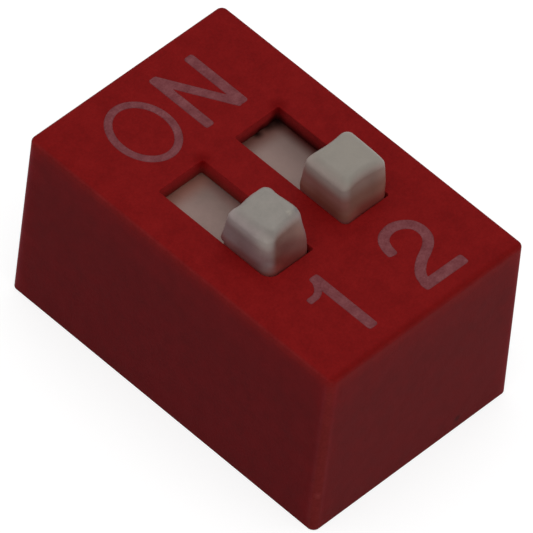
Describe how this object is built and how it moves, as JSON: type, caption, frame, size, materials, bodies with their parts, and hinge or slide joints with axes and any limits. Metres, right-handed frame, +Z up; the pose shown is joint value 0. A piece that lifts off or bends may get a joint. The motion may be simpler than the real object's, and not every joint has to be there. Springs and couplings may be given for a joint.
{
  "type": "dip switch",
  "caption": "Through-hole slide switch: red cover with raised white sliders, ON at one side, flat pins below on a standard grid.",
  "frame": {"origin": "middle of the cover's lower rim, on the board that the switch seats on", "axes": "+X along the row of positions, from 1 to 2; +Y towards the ON side; +Z up, out of the board"},
  "size_m": [0.0066, 0.01, 0.0097],
  "materials": {
    "cover_red": "moulded red plastic with a fine spark-eroded texture",
    "base_black": "moulded black plastic",
    "terminal_tin": "stamped strip, tin plated",
    "slider_white": "off-white moulded plastic, slightly soft",
    "contact_gold": "spring bronze with a thin gold plating"
  },
  "bodies": {
    "housing": {"cover": "cover_red", "base": "base_black", "terminal_number_side_1": "terminal_tin", "terminal_number_side_2": "terminal_tin", "terminal_on_side_1": "terminal_tin", "terminal_on_side_2": "terminal_tin"},
    "switch_1": {"slider_1": "slider_white", "contact_bridge_1": "contact_gold"},
    "switch_2": {"slider_2": "slider_white", "contact_bridge_2": "contact_gold"}
  },
  "joints": [
    {"name": "switch_1_slide", "type": "slide", "parent": "housing", "child": "switch_1", "axis": [0, 1, 0], "range_m": [0, 0.002]},
    {"name": "switch_2_slide", "type": "slide", "parent": "housing", "child": "switch_2", "axis": [0, 1, 0], "range_m": [0, 0.002]}
  ]
}
